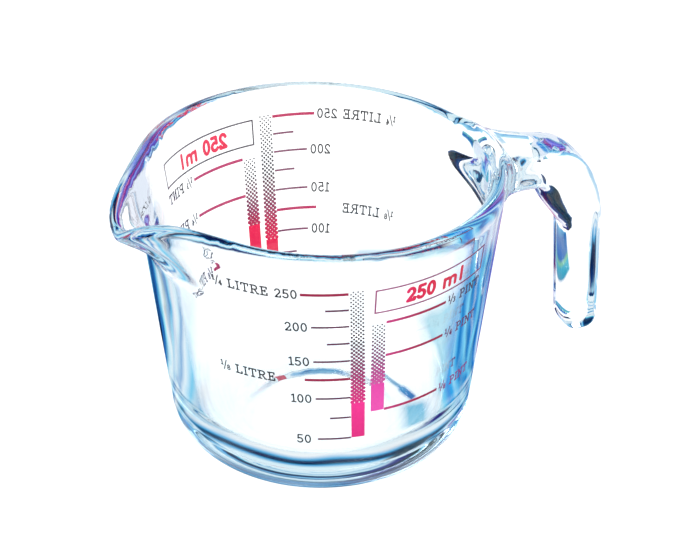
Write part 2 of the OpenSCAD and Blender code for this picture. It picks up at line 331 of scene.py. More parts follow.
# %% Stations along the handle
STRAP_Z, LEG_X, STRAP_FALL = JUG_H - 8.8, RIM_R + 25.8, math.radians(10.0)
STRAP_W, STRAP_T, ROOT_W, ROOT_T, ROOT_RUN, ROOT_DROP = 15.6, 11.2, 11.0, 2.0, 6.0, 4.0
BEND_OUT, BEND_DOWN, BEND_FILL = 11.5, 18.8, 4.0
LEG_W, LEG_T, LEG_END, LEG_SPLAY, LEG_TAPER = 13.6, 10.1, 13.4, 0.6, 0.9
SECTION_N, CAP_N, LEG_CAP = 3.2, 2.4, 0.6 * LEG_T
BEND_A = math.atan2(BEND_DOWN, BEND_OUT * math.tan(STRAP_FALL))
STRAP_END = LEG_X - BEND_OUT + BEND_OUT * math.cos(BEND_A)


def strap_z(x):
    """Height of the strap's middle line."""
    return STRAP_Z - math.tan(STRAP_FALL) * (x - RIM_R)


def grown(x, run):
    """How much wider or thicker the root still is, falling off away from the wall."""
    return np.exp(-np.maximum(-1, x - RIM_R) / run)


BEND_C = (LEG_X - BEND_OUT, strap_z(STRAP_END) - BEND_DOWN * math.sin(BEND_A))
x = np.linspace(RIM_R - 5, STRAP_END, 60, endpoint=False)
strap = np.stack([x, strap_z(x), np.full_like(x, math.pi / 2 - STRAP_FALL),
                  STRAP_W + ROOT_W * grown(x, ROOT_RUN), STRAP_T + ROOT_T * grown(x, ROOT_DROP)], 1)
k = np.linspace(0, 1, 120)
a = BEND_A * (1 - k)
facing = np.arctan2(BEND_OUT * np.sin(a), BEND_DOWN * np.cos(a))
fill = BEND_FILL * np.sin(math.pi * k)
x = BEND_C[0] + BEND_OUT * np.cos(a) - fill / 2 * np.cos(facing)
bend = np.stack([x, BEND_C[1] + BEND_DOWN * np.sin(a) - fill / 2 * np.sin(facing), facing,
                 STRAP_W + (LEG_W - STRAP_W) * k + ROOT_W * grown(x, ROOT_RUN),
                 STRAP_T + (LEG_T - STRAP_T) * k + fill], 1)
k = np.linspace(0, 1, 81)[1:]
leg = np.stack([LEG_X + LEG_SPLAY * k, BEND_C[1] + (LEG_END + LEG_CAP - BEND_C[1]) * k, 0 * k,
                LEG_W - LEG_TAPER * k, LEG_T - LEG_TAPER * k], 1)
stations = np.concatenate([strap, bend, leg])
print("handle stations:", len(stations), "leg at", stations[-1].round(1))

# %% Field of the handle
BATCH, TIP_STATIONS = 20000, 5


def handle_field(px, py, pz):
    """Distance to the handle's surface, measured along a ray from its middle line."""
    flat = np.stack([px.ravel(), pz.ravel()], 1)
    nearest = np.empty(len(flat), int)
    for start in range(0, len(flat), BATCH):
        part = flat[start:start + BATCH]
        away = (part[:, None, 0] - stations[None, :, 0]) ** 2 + (part[:, None, 1] - stations[None, :, 1]) ** 2
        nearest[start:start + BATCH] = away.argmin(1)
    i = np.clip(nearest, 1, len(stations) - 2)
    ahead = stations[i + 1, :2] - stations[i - 1, :2]
    along = ((flat - stations[i, :2]) * ahead).sum(1) / (ahead ** 2).sum(1) * 2
    spot = np.clip(i + along, 0, len(stations) - 1)
    whole = np.minimum(spot.astype(int), len(stations) - 2)
    here = stations[whole] + (spot - whole)[:, None] * (stations[whole + 1] - stations[whole])
    v = (flat[:, 0] - here[:, 0]) * np.cos(here[:, 2]) + (flat[:, 1] - here[:, 1]) * np.sin(here[:, 2])
    at_tip = nearest > len(stations) - TIP_STATIONS
    u, below = py.ravel(), np.maximum(0, stations[-1, 1] - flat[:, 1]) * at_tip
    section = ((2 * np.abs(u) / here[:, 3]) ** SECTION_N
               + (2 * np.abs(v) / here[:, 4]) ** SECTION_N) ** (1 / SECTION_N)
    size = (section ** CAP_N + (below / LEG_CAP) ** CAP_N + 1e-9) ** (1 / CAP_N)
    return (np.sqrt(u * u + v * v + below * below) * (1 - 1 / size)).reshape(px.shape)


print("field 2 mm beside the leg's middle line:",
      handle_field(np.array([LEG_X]), np.array([2.0]), np.array([BEND_C[1]])).round(2), "mm")

# %% [markdown]
# ## One field for the whole glass
# The handle starts a millimetre under the outside of the wall, so that it can't show inside
# the jug. A soft minimum joins the two fields with a fillet. The wall is a hair thicker than
# the solids where the print lies, so that the enamel sits in the glass as fired enamel does,
# and shows from inside the glass too.

# %% Field of body and handle together
FILLET, ROOT_IN = 3.4, 1.0
INK_BED, BED_FROM, BED_RUN = 0.06, 10, 8
HANDLE_X, HANDLE_Y = 38, 24


def glass_field(p):
    """Signed distance to the glass surface for points in millimetres, as an array of rows."""
    px, py, pz = p[:, 0], p[:, 1], p[:, 2]
    r, bearing = np.hypot(px, py), np.degrees(np.arctan2(py, px))
    bed = INK_BED * np.clip((pz - BED_FROM) / BED_RUN, 0, 1)
    body = wall_profile(*bend_back(r - bed, pz, bearing))
    near = (px > HANDLE_X) & (np.abs(py) < HANDLE_Y)
    q = p[near]
    arm = np.maximum(handle_field(q[:, 0], q[:, 1], q[:, 2]),
                     outer_r(np.minimum(q[:, 2], SEAM_Z)) - ROOT_IN - r[near])
    mix = np.clip(0.5 + 0.5 * (arm - body[near]) / FILLET, 0, 1)
    body[near] = arm + (body[near] - arm) * mix - FILLET * mix * (1 - mix)
    return body


def uphill(p, step=0.02):
    """Direction in which the field grows fastest, which is the surface's normal there."""
    slope = np.empty_like(p)
    for axis in range(3):
        shift = np.zeros(3)
        shift[axis] = step
        slope[:, axis] = glass_field(p + shift) - glass_field(p - shift)
    return slope / (2 * step)


print("field on the axis at half height:", glass_field(np.array([[0, 0, JUG_H / 2]])).round(2), "mm")

# %% [markdown]
# ## Skin of the field
# The field is sampled on a grid of cells. Each cell that the surface crosses gets one vertex,
# and each grid edge that it crosses gets one quad. Where two solid samples touch only across a
# corner, a third is made solid first, so that no two walls share an edge. The vertices are then
# evened out and moved onto the exact surface, which gives a closed mesh of small even quads.
# Normals come straight from the field, as smooth as the glass itself. Only in the hollow of the
# handle's bend, where the field has a crease, the mesh is rounded off and gives its own normals.

# %% Draw the skin
CELL, JUST_SOLID = 0.9, -0.01
SKIN_LOW, SKIN_HIGH = np.array([-57.0, -49.0, -2.0]), np.array([80.0, 49.0, 81.0])


def fill_checkers(values):
    """Where two solid samples touch only across a corner, a third becomes solid."""
    a, b, c, d = values[:-1, :-1], values[1:, :-1], values[:-1, 1:], values[1:, 1:]
    b[(a < 0) & (d < 0) & (b >= 0) & (c >= 0)] = JUST_SOLID
    a[(b < 0) & (c < 0) & (a >= 0) & (d >= 0)] = JUST_SOLID


def skin_of(field, low, high, cell):
    """Points and quads of the surface where a field is zero, inside a box."""
    counts = np.ceil((high - low) / cell).astype(int) + 1
    axes = [low[i] + cell * np.arange(counts[i]) for i in range(3)]
    values = np.empty(counts)
    sheet = np.stack(np.meshgrid(axes[1], axes[2], indexing="ij"), -1).reshape(-1, 2)
    for i, x_here in enumerate(axes[0]):
        values[i] = field(np.column_stack([np.full(len(sheet), x_here), sheet])).reshape(counts[1:])
    for axis in (0, 1, 2, 0, 1, 2):
        fill_checkers(np.moveaxis(values, axis, -1))
    solid = values < 0
    corners = [np.array(c) for c in np.ndindex(2, 2, 2)]
    cells = counts - 1
    total = sum(solid[c[0]:c[0] + cells[0], c[1]:c[1] + cells[1], c[2]:c[2] + cells[2]].astype(int)
                for c in corners)
    active = np.argwhere((total > 0) & (total < 8))
    number = np.full(cells, -1)
    number[tuple(active.T)] = np.arange(len(active))
    place, hits = np.zeros((len(active), 3)), np.zeros(len(active))
    for c in corners:
        for axis in range(3):
            if c[axis] == 0:
                d = c + np.eye(3, dtype=int)[axis]
                va, vb = values[tuple((active + c).T)], values[tuple((active + d).T)]
                cut = (va < 0) != (vb < 0)
                way = np.where(cut, va / np.where(cut, va - vb, 1), 0)
                place += (c + way[:, None] * (d - c)) * cut[:, None]
                hits += cut
    points = low + cell * (active + place / hits[:, None])
    quads = []
    for axis in range(3):
        e, f = (axis + 1) % 3, (axis + 2) % 3
        ahead = np.take(solid, range(1, counts[axis]), axis)
        behind = np.take(solid, range(counts[axis] - 1), axis)
        for flip, cut in ((False, behind & ~ahead), (True, ahead & ~behind)):
            edge = np.argwhere(cut)
            edge = edge[(edge[:, e] > 0) & (edge[:, e] < cells[e])]
            edge = edge[(edge[:, f] > 0) & (edge[:, f] < cells[f])]
            ring = []
            for de, df in ((1, 1), (0, 1), (0, 0), (1, 0)):
                at = edge.copy()
                at[:, e] -= de
                at[:, f] -= df
                ring.append(number[tuple(at.T)])
            quads.append(np.stack(ring[::-1] if flip else ring, 1))
    return points, np.concatenate(quads)


points, quads = skin_of(glass_field, SKIN_LOW, SKIN_HIGH, CELL)
print("glass skin:", len(points), "vertices,", len(quads), "quads")

# %% Even the skin out and lay it on the surface
EVEN, EVEN_TIMES, LAST_TIMES = 0.6, 4, 3
LEAST_SLOPE, LONGEST_STEP = 0.2, 0.5


def onto_surface(p, times):
    """Points moved along the field's slope until they lie on its surface."""
    for _ in range(times):
        slope = uphill(p)
        step = glass_field(p) / np.maximum(LEAST_SLOPE, (slope ** 2).sum(1))
        p = p - slope * np.clip(step, -LONGEST_STEP, LONGEST_STEP)[:, None]
    return p


pairs = np.concatenate([quads[:, [i, (i + 1) % 4]] for i in range(4)])
count = np.bincount(pairs[:, 0])[:, None]


def beside(values):
    """Mean of each vertex's neighbours."""
    around = np.zeros_like(values)
    np.add.at(around, pairs[:, 0], values[pairs[:, 1]])
    return around / count


def unit(ways):
    """Directions one unit long."""
    return ways / np.linalg.norm(ways, axis=1)[:, None]


for _ in range(EVEN_TIMES):
    points = onto_surface(points * (1 - EVEN) + EVEN * beside(points), 1)
points = onto_surface(points, LAST_TIMES)
print("skin laid on the surface within", np.abs(glass_field(points)).max().round(3), "mm")

# %% Round off the hollow of the handle's bend
HOLLOW, HOLLOW_R, HOLLOW_TIMES, NORMAL_TIMES = (59.5, 58.0), 2.5, 24, 3
from_hollow = np.hypot(points[:, 0] - HOLLOW[0], points[:, 2] - HOLLOW[1])
hollow = np.clip(2 - from_hollow / HOLLOW_R, 0, 1)[:, None]
for _ in range(HOLLOW_TIMES):
    points = points + 0.5 * hollow * (beside(points) - points)
facing = np.cross(points[quads[:, 2]] - points[quads[:, 0]], points[quads[:, 3]] - points[quads[:, 1]])
drawn = np.zeros_like(points)
for corner in quads.T:
    np.add.at(drawn, corner, facing)
normals = unit(uphill(points)) * (1 - hollow) + unit(drawn) * hollow
for _ in range(NORMAL_TIMES):
    normals = unit(normals)
    normals = normals * 0.5 + 0.5 * beside(normals)
normals = unit(normals)
print("largest distance from the field's surface, in that hollow:",
      np.abs(glass_field(points)).max().round(2), "mm")

# %% [markdown]
# ## Clear pressed glass
# Soda or borosilicate glass bends light with an index near 1.5. Thin walls look colourless,
# but where the eye looks along a wall or down the rim the path through the glass is long,
# and a faint blue-green shows, so the colour is a volume that absorbs and not a painted one.
# Pressed glass is never quite flat: a shallow waviness about a centimetre long comes from the
# mould. For lamps and for soft light the glass is nearly clear, since the light that a
# real jug gathers would otherwise be lost. Light that was turned back twice inside the glass
# is let out at its next turn.

# %% Material of the glass
MOST_TURNS = 2
glass, tree = new_material("pressed_glass")
where = add(tree, "ShaderNodeTexCoord")
# waves about 11 mm long and a few hundredths of a millimetre high
waves = add(tree, "ShaderNodeTexNoise", {"Vector": where.outputs["Object"], "Scale": 90.0, "Detail": 1.0})
wavy = add(tree, "ShaderNodeBump", {"Height": waves.outputs["Fac"], "Strength": 0.15, "Distance": 0.0002})
clear = add(tree, "ShaderNodeBsdfPrincipled", {
    "Base Color": ink(WHITE), "Roughness": 0.0, "IOR": 1.48, "Transmission Weight": 1.0,
    "Normal": wavy.outputs["Normal"]})
path = add(tree, "ShaderNodeLightPath")
soft = maths(tree, "MAXIMUM", path.outputs["Is Shadow Ray"], path.outputs["Is Diffuse Ray"])
deep = maths(tree, "GREATER_THAN", path.outputs["Glossy Depth"], MOST_TURNS + 0.5)
through = add(tree, "ShaderNodeBsdfTransparent", {"Color": ink("#FDFEFE")})
either = add(tree, "ShaderNodeMixShader", {
    0: maths(tree, "MAXIMUM", soft, deep), 1: clear.outputs[0], 2: through.outputs[0]})
tint = add(tree, "ShaderNodeVolumeAbsorption", {"Color": ink("#B4E4F6"), "Density": 10.0})
add(tree, "ShaderNodeOutputMaterial", {"Surface": either.outputs[0], "Volume": tint.outputs[0]})
print("glass material ready")

# %% The glass piece
jug_glass = piece("jug_glass", points, quads.tolist(), glass)
jug_glass.data.shade_smooth()
jug_glass.data.normals_split_custom_set_from_vertices(normals.tolist())
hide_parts("vessel", "handle")
print("glass piece:", len(jug_glass.data.polygons), "faces")

# %% [markdown]
# ## Fired enamel
# The scales are screen-printed with a glass colour and fired. Such enamel is a little uneven:
# thicker in the middle of a block, with a satin surface. The front print leans to magenta and
# the rear one, seen through two walls, to red. Thin lines look darker and duller than blocks.

# %% Materials of the enamel
def enamel(name, roughness, axis, *run):
    """Satin enamel with a fine mottle; its colour runs along one axis as (millimetres, hex) pairs."""
    material, tree = new_material(name)
    where = add(tree, "ShaderNodeTexCoord")
    split = add(tree, "ShaderNodeSeparateXYZ", {0: where.outputs["Object"]})
    colour = run_of(tree, maths(tree, "MULTIPLY", split.outputs[axis], 1 / MM), *run)
    # mottle of the screen print, about 0.6 mm
    mottle = add(tree, "ShaderNodeTexNoise", {
        "Vector": where.outputs["Object"], "Scale": 1600.0, "Detail": 2.0})
    value = add(tree, "ShaderNodeMapRange", {
        "Value": mottle.outputs["Fac"], "To Min": 0.90, "To Max": 1.10})
    shade = add(tree, "ShaderNodeHueSaturation", {"Color": colour, "Value": value.outputs[0]})
    rough = add(tree, "ShaderNodeMapRange", {
        "Value": mottle.outputs["Fac"], "To Min": roughness - 0.06, "To Max": roughness + 0.06})
    film = add(tree, "ShaderNodeBsdfPrincipled", {
        "Base Color": shade.outputs[0], "Roughness": rough.outputs[0], "IOR": 1.5})
    add(tree, "ShaderNodeOutputMaterial", {"Surface": film.outputs[0]})
    return material


def tick_run(fine, bold):
    """Colour run for metric ticks: the bold ones stand at 125 and 250 millilitres."""
    return ((20, fine), (39.2, fine), (40.0, bold), (42.1, bold), (42.9, fine),
            (65.4, fine), (66.2, bold), (69, bold))


front_block = enamel("enamel_front_block", 0.38, "Z", (21, "#D80A74"), (34, "#EE1A8C"))
rear_block = enamel("enamel_rear_block", 0.38, "Z", (21, "#E4003C"), (40, "#F8004C"))
pint_block = enamel("enamel_pint_block", 0.38, "Z", (28, "#EA48AE"), (38, "#E038A2"))
front_fine = enamel("enamel_front_ticks", 0.42, "Z", *tick_run("#5E2040", "#98003C"))
rear_fine = enamel("enamel_rear_ticks", 0.42, "Z", *tick_run("#84405E", "#C01C56"))
front_pint = enamel("enamel_front_pint_ticks", 0.42, "X", (-4, "#D03088"), (8, "#A81048"), (24, "#80002C"))
rear_pint = enamel("enamel_rear_pint_ticks", 0.42, "Z", (28, "#C01C56"), (58, "#C42A66"))
front_frame_line = enamel("enamel_front_frame", 0.42, "X", (-6, "#A04A78"), (26, "#7A2450"))
rear_frame_line = enamel("enamel_rear_frame", 0.42, "Z", (58, "#54484E"), (68, "#5A4A54"))
grey_ink = enamel("enamel_grey_ink", 0.45, "Z", (20, "#2A2628"), (68, "#262224"))
plum_ink = enamel("enamel_plum_ink", 0.45, "Z", (28, "#8A1E70"), (58, "#4A3048"))
front_word = enamel("enamel_front_word", 0.38, "X", (-4, "#E838A0"), (6, "#DC0848"), (26, "#CC0018"))
rear_word = enamel("enamel_rear_word", 0.38, "Z", (58, "#F0003C"), (68, "#F4104C"))
print("enamels ready")

# %% The printed solids take their enamel
finishes = {
    "front_metric_bar": front_block, "front_pint_bar": pint_block,
    "rear_metric_bar": rear_block, "rear_pint_bar": rear_block,
    "front_metric_ticks": front_fine, "front_pint_ticks": front_pint,
    "rear_metric_ticks": rear_fine, "rear_pint_ticks": rear_pint,
    "front_frame": front_frame_line, "rear_frame": rear_frame_line,
}
for name, finish in finishes.items():
    nodes[name].data.materials.clear()
    nodes[name].data.materials.append(finish)
print("enamel on", len(finishes), "printed solids")

# %% [markdown]
# ## Levels of the scale
# A mark stands where the jug really holds that much, so the levels come from the inside
# volume, added up in thin slices from the floor. The pint scale is printed a little higher.

# %% Levels from the inside volume
PINT, PINT_LIFT, SLICES, ML = 568.26, 1.9, 6000, 1000
heights = np.linspace(FLOOR_T, SEAM_Z, SLICES + 1)
middle = (heights[1:] + heights[:-1]) / 2
root = np.sqrt(np.maximum(0, FLOOR_ROUND ** 2 - (FLOOR_C[1] - middle) ** 2))
in_radius = middle < FLOOR_C[1] - FLOOR_ROUND * math.sin(IN_SLOPE)
inside = np.where(in_radius, FLOOR_C[0] + root, inner_r(middle))
held = np.concatenate([[0], np.cumsum(math.pi * inside ** 2 * np.diff(heights)) / ML])
mark = {v: float(np.interp(v, held, heights)) for v in range(50, 251, 25)}
pint_mark = [float(np.interp(PINT / n, held, heights)) + PINT_LIFT for n in (8, 4, 3)]
print("marks", {v: round(z, 1) for v, z in mark.items()}, "pint", np.round(pint_mark, 1))

# %% [markdown]
# ## Halftone fields
# Above its solid foot each bar fades out in the dots of a coarse printing screen at 45 degrees:
# at the top they are specks, and low down they meet and leave only pale gaps.
# One Geometry Nodes tree makes a field from a grid of points, an instance on each and a union of
# them all, and a last step wraps the flat field onto the cone of the wall.

# %% Inputs of the halftone tree
PRINT_AT, PRINT_TURN, PRINT_LEAN, BAR_W, BAR_GAP = -102.2, 187.0, -0.056, 4.8, 2.1
PRINT_MID = (mark[50] + mark[250]) / 2
FILM_IN, FILM_OUT = 0.0, 0.11
DOT_SIDES, DOT_CURVE = 10, 0.8
SOCKETS = {
    "NodeSocketInt": ("Columns", "Rows"),
    "NodeSocketFloat": ("Pitch", "Row height", "Foot level", "Bearing", "Lean", "Lean level", "Smallest dot",
                        "Largest dot", "Wall radius at zero", "Wall lean", "Film inside", "Film outside"),
    "NodeSocketMaterial": ("Enamel",),
}

dots = bpy.data.node_groups.new("halftone_field", "GeometryNodeTree")
for kind, names in SOCKETS.items():
    for name in names:
        dots.interface.new_socket(name, in_out="INPUT", socket_type=kind)
dots.interface.new_socket("Geometry", in_out="OUTPUT", socket_type="NodeSocketGeometry")


def calc(operation, *values):
    """Output of one Math node of the halftone tree."""
    return maths(dots, operation, *values)


print("inputs of the halftone tree:", len(dots.interface.items_tree) - 1)

# %% Dots on a flat grid
sizes = add(dots, "NodeGroupInput").outputs
column_gaps = calc("SUBTRACT", sizes["Columns"], 1.0)
row_gaps = calc("SUBTRACT", sizes["Rows"], 1.0)
width = calc("MULTIPLY", column_gaps, sizes["Pitch"])
height = calc("MULTIPLY", row_gaps, sizes["Row height"])
grid = add(dots, "GeometryNodeMeshGrid", {
    "Size X": width, "Size Y": height, "Vertices X": sizes["Columns"], "Vertices Y": sizes["Rows"]})
flat = add(dots, "ShaderNodeSeparateXYZ", {0: add(dots, "GeometryNodeInputPosition").outputs[0]}).outputs
up = calc("ADD", flat["Y"], calc("MULTIPLY", height, 0.5))
row = calc("ROUND", calc("DIVIDE", up, sizes["Row height"]))
odd_row = calc("SUBTRACT", calc("MODULO", row, 2.0), 0.5)
stagger = calc("MULTIPLY", odd_row, calc("MULTIPLY", sizes["Pitch"], 0.5))
shift = add(dots, "ShaderNodeCombineXYZ", {"X": stagger})
laid = add(dots, "GeometryNodeSetPosition", {"Geometry": grid.outputs["Mesh"], "Offset": shift.outputs[0]})
rank = calc("DIVIDE", row, row_gaps)
dot_size = add(dots, "ShaderNodeMapRange", {
    "Value": calc("POWER", rank, DOT_CURVE),
    "To Min": sizes["Largest dot"], "To Max": sizes["Smallest dot"]}).outputs[0]
thick = calc("SUBTRACT", sizes["Film outside"], sizes["Film inside"])
dot = add(dots, "GeometryNodeMeshCylinder", {"Vertices": DOT_SIDES, "Radius": 1.0, "Depth": 1.0},
          fill_type="NGON")
scale = add(dots, "ShaderNodeCombineXYZ", {"X": dot_size, "Y": dot_size, "Z": thick})
placed = add(dots, "GeometryNodeInstanceOnPoints", {
    "Points": laid.outputs[0], "Instance": dot.outputs["Mesh"], "Scale": scale.outputs[0]})
joined = add(dots, "GeometryNodeMeshBoolean", {"Mesh 2": placed.outputs[0]},
             operation="UNION", solver="MANIFOLD")
real = add(dots, "GeometryNodeRealizeInstances", {0: joined.outputs[0]})
print("flat dots:", len(dots.nodes), "nodes")

# %% Wrap the dots onto the wall
flat = add(dots, "ShaderNodeSeparateXYZ", {0: add(dots, "GeometryNodeInputPosition").outputs[0]}).outputs
level = calc("ADD", calc("ADD", flat["Y"], calc("MULTIPLY", height, 0.5)), sizes["Foot level"])
cone = calc("MULTIPLY_ADD", level, sizes["Wall lean"], sizes["Wall radius at zero"])
proud = calc("ADD", calc("ADD", flat["Z"], calc("MULTIPLY", thick, 0.5)), sizes["Film inside"])
radius = calc("ADD", cone, proud)
lean_by = calc("MULTIPLY", calc("SUBTRACT", level, sizes["Lean level"]), sizes["Lean"])
start = calc("RADIANS", calc("ADD", sizes["Bearing"], lean_by))
bearing = calc("ADD", start, calc("DIVIDE", flat["X"], cone))
wrapped = add(dots, "ShaderNodeCombineXYZ", {
    "X": calc("MULTIPLY", calc("MULTIPLY", radius, calc("COSINE", bearing)), MM),
    "Y": calc("MULTIPLY", calc("MULTIPLY", radius, calc("SINE", bearing)), MM),
    "Z": calc("MULTIPLY", level, MM)})
seated = add(dots, "GeometryNodeSetPosition", {"Geometry": real.outputs[0], "Position": wrapped.outputs[0]})
dressed = add(dots, "GeometryNodeSetMaterial", {"Geometry": seated.outputs[0], "Material": sizes["Enamel"]})
add(dots, "NodeGroupOutput", {"Geometry": dressed.outputs[0]})
print("halftone tree:", len(dots.nodes), "nodes")

# %% The four halftone fields
METRIC_PART, PINT_PART, METRIC_ABOVE = 0.85, 0.5, 0.9
METRIC_SOLID = mark[50] + METRIC_PART * (mark[100] - mark[50])
PINT_SOLID = pint_mark[0] + PINT_PART * (pint_mark[1] - pint_mark[0])
DOT_PITCH, DOT_ROW, DOT_COLUMNS, DOT_SMALL, DOT_LARGE, DOT_LIFT = 1.15, 0.6, 3, 0.22, 0.53, 0.6
front_dots = enamel("enamel_front_dots", 0.42, "Z", (33, "#D8147A"), (44, "#8C2A62"), (52, "#54484E"))
pint_dots = enamel("enamel_pint_dots", 0.42, "Z", (36, "#DC48A4"), (46, "#8C3C72"), (54, "#54484E"))
rear_dots = enamel("enamel_rear_dots", 0.42, "Z", (33, "#E8104C"), (44, "#8C2A50"), (52, "#4A4448"))


def halftone(name, middle, lean, low, high, finish):
    """One field of dots between two levels; the node tree draws it, and its mesh is kept."""
    field = bpy.data.objects.new(name + "_maker", bpy.data.meshes.new(name + "_maker"))
    scene.collection.objects.link(field)
    maker = field.modifiers.new("halftone", "NODES")
    maker.node_group = dots
    values = {
        "Columns": DOT_COLUMNS, "Rows": int((high - low) / DOT_ROW), "Pitch": DOT_PITCH,
        "Row height": DOT_ROW, "Foot level": low + DOT_ROW * DOT_LIFT, "Bearing": middle, "Lean": lean,
        "Lean level": PRINT_MID, "Smallest dot": DOT_SMALL, "Largest dot": DOT_LARGE,
        "Wall radius at zero": outer_r(0), "Wall lean": LEAN,
        "Film inside": FILM_IN, "Film outside": FILM_OUT, "Enamel": finish}
    for item in dots.interface.items_tree:
        if item.in_out == "INPUT":
            maker[item.identifier] = values[item.name]
    mesh = bpy.data.meshes.new_from_object(field.evaluated_get(bpy.context.evaluated_depsgraph_get()))
    field.modifiers.clear()
    bpy.data.objects.remove(field)
    mesh.name = name
    made = bpy.data.objects.new(name, mesh)
    scene.collection.objects.link(made)
    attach(made, "root")
    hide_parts(name.replace("dots", "halftone"))
    print(name, len(mesh.polygons), "faces")
    return made


for side, at, lean, metric, pint in (("front", PRINT_AT, PRINT_LEAN, front_dots, pint_dots),
                                     ("rear", PRINT_AT + PRINT_TURN, 0.0, rear_dots, rear_dots)):
    halftone(side + "_metric_dots", at + BAR_W / 2, lean, METRIC_SOLID, mark[250] + METRIC_ABOVE, metric)
    halftone(side + "_pint_dots", at + BAR_W * 1.5 + BAR_GAP, lean, PINT_SOLID, pint_mark[2], pint)

# %% [markdown]
# ## Numerals and unit words
# The lettering is a light slab-serif about 2.6 mm high, printed in grey and plum. The capacity stands
# larger and bolder in its plain frame. Each letter is drawn as pen strokes on a grid one unit high.
# The strokes of a line are joined by taking the smallest distance to any of them, and the outline is
# where that distance is half a pen's width, so strokes that meet leave no seam. The flat letters are
# then wrapped onto the wall.

# %% Pen strokes of the letters
def bow(cx, cy, rx, ry, low, high, n=10):
    """Part of an oval between two angles."""
    return [(cx + rx * math.cos(math.radians(t)), cy + ry * math.sin(math.radians(t)))
            for t in np.linspace(low, high, n)]


def serif(x, y, half=0.13):
    """Short level stroke at the end of a stem."""
    return [(x - half, y), (x + half, y)]


LETTERS = {
    "0": (0.62, [bow(0.31, 0.5, 0.22, 0.46, 0, 360, 20)]),
    "1": (0.46, [[(0.08, 0.84), (0.25, 0.96), (0.25, 0.04)], serif(0.25, 0.04, 0.17)]),
    "2": (0.62, [bow(0.30, 0.69, 0.21, 0.27, 165, -30) + [(0.09, 0.04), (0.54, 0.04), (0.54, 0.18)]]),
    "3": (0.60, [bow(0.28, 0.72, 0.19, 0.24, 150, -90) + bow(0.28, 0.27, 0.22, 0.23, 90, -150)]),
    "4": (0.64, [[(0.58, 0.30), (0.07, 0.30), (0.42, 0.96), (0.42, 0.04)], serif(0.42, 0.04, 0.14)]),
    "5": (0.62, [[(0.51, 0.96), (0.16, 0.96), (0.13, 0.52)] + bow(0.29, 0.31, 0.24, 0.28, 130, -150)]),
    "8": (0.62, [bow(0.31, 0.73, 0.18, 0.23, 0, 360, 16), bow(0.31, 0.27, 0.22, 0.24, 0, 360, 16)]),
    "L": (0.66, [[(0.20, 0.96), (0.20, 0.04), (0.58, 0.04), (0.58, 0.26)],
                 serif(0.20, 0.96), serif(0.18, 0.04, 0.11)]),
    "I": (0.40, [[(0.20, 0.96), (0.20, 0.04)], serif(0.20, 0.96), serif(0.20, 0.04)]),
    "T": (0.72, [[(0.07, 0.74), (0.07, 0.96), (0.65, 0.96), (0.65, 0.74)],
                 [(0.36, 0.96), (0.36, 0.04)], serif(0.36, 0.04)]),
    "R": (0.76, [[(0.18, 0.04), (0.18, 0.96), (0.38, 0.96)] + bow(0.40, 0.73, 0.20, 0.23, 90, -90)
                 + [(0.18, 0.50)], [(0.40, 0.50), (0.62, 0.04)],
                 serif(0.18, 0.04), serif(0.13, 0.96, 0.08), serif(0.66, 0.04, 0.08)]),
    "E": (0.68, [[(0.57, 0.76), (0.57, 0.96), (0.06, 0.96)], [(0.19, 0.96), (0.19, 0.04)],
                 [(0.19, 0.51), (0.44, 0.51)], [(0.06, 0.04), (0.59, 0.04), (0.59, 0.26)],
                 [(0.44, 0.61), (0.44, 0.41)]]),
    "P": (0.68, [[(0.18, 0.04), (0.18, 0.96), (0.38, 0.96)] + bow(0.39, 0.71, 0.21, 0.25, 90, -90)
                 + [(0.18, 0.46)], serif(0.18, 0.04), serif(0.13, 0.96, 0.08)]),
    "N": (0.78, [[(0.17, 0.04), (0.17, 0.96), (0.62, 0.04), (0.62, 0.96)],
                 serif(0.17, 0.04), serif(0.11, 0.96, 0.08), serif(0.62, 0.96)]),
    "m": (0.92, [[(0.14, 0.66), (0.14, 0.02)], bow(0.30, 0.46, 0.16, 0.18, 180, 0, 8) + [(0.46, 0.02)],
                 bow(0.62, 0.46, 0.16, 0.18, 180, 0, 8) + [(0.78, 0.02)]]),
    "l": (0.34, [[(0.17, 0.96), (0.17, 0.02)]]),
    "/": (0.50, [[(0.08, -0.06), (0.42, 1.06)]]),
    " ": (0.36, []),
}


SMALL, RAISED, THIN, TO_BAR, TO_LOWER, FRACTION_WIDE = 0.60, 0.40, 0.72, 0.24, 0.66, 1.14
DIGIT_WIDE, LETTER_GAP = 1.06, 0.08


def strokes(words, widen):
    """Pen strokes of a line of words with their weight, and its length; a fraction is small and slanted."""
    lines, at, i = [], 0.0, 0
    while i < len(words):
        if words[i + 1:i + 2] == "/":
            parts = [(words[i], SMALL, 1.0, at, RAISED, THIN), ("/", 1.0, 1.0, at + TO_BAR, 0.0, THIN),
                     (words[i + 2], SMALL, 1.0, at + TO_LOWER, 0.0, THIN)]
            at += FRACTION_WIDE
            i += 3
        else:
            wide = widen if words[i].isalpha() else DIGIT_WIDE
            parts = [(words[i], 1.0, wide, at, 0.0, 1.0)]
            at += LETTERS[words[i]][0] * wide + LETTER_GAP
            i += 1
        for letter, size, wide, dx, dy, weight in parts:
            lines += [([(dx + size * wide * px, dy + size * py) for px, py in line], weight)
                      for line in LETTERS[letter][1]]
    return lines, at


WORD_H, WORD_WIDE, PEN, WORD_CELL = 2.6, 1.17, 0.36, 0.09
print("a line of words:", round(strokes("1/4 LITRE", WORD_WIDE)[1] * WORD_H, 1), "mm long")

# %% Outline of the strokes, cell by cell
ROOM, NO_INK = 0.1, 9.0


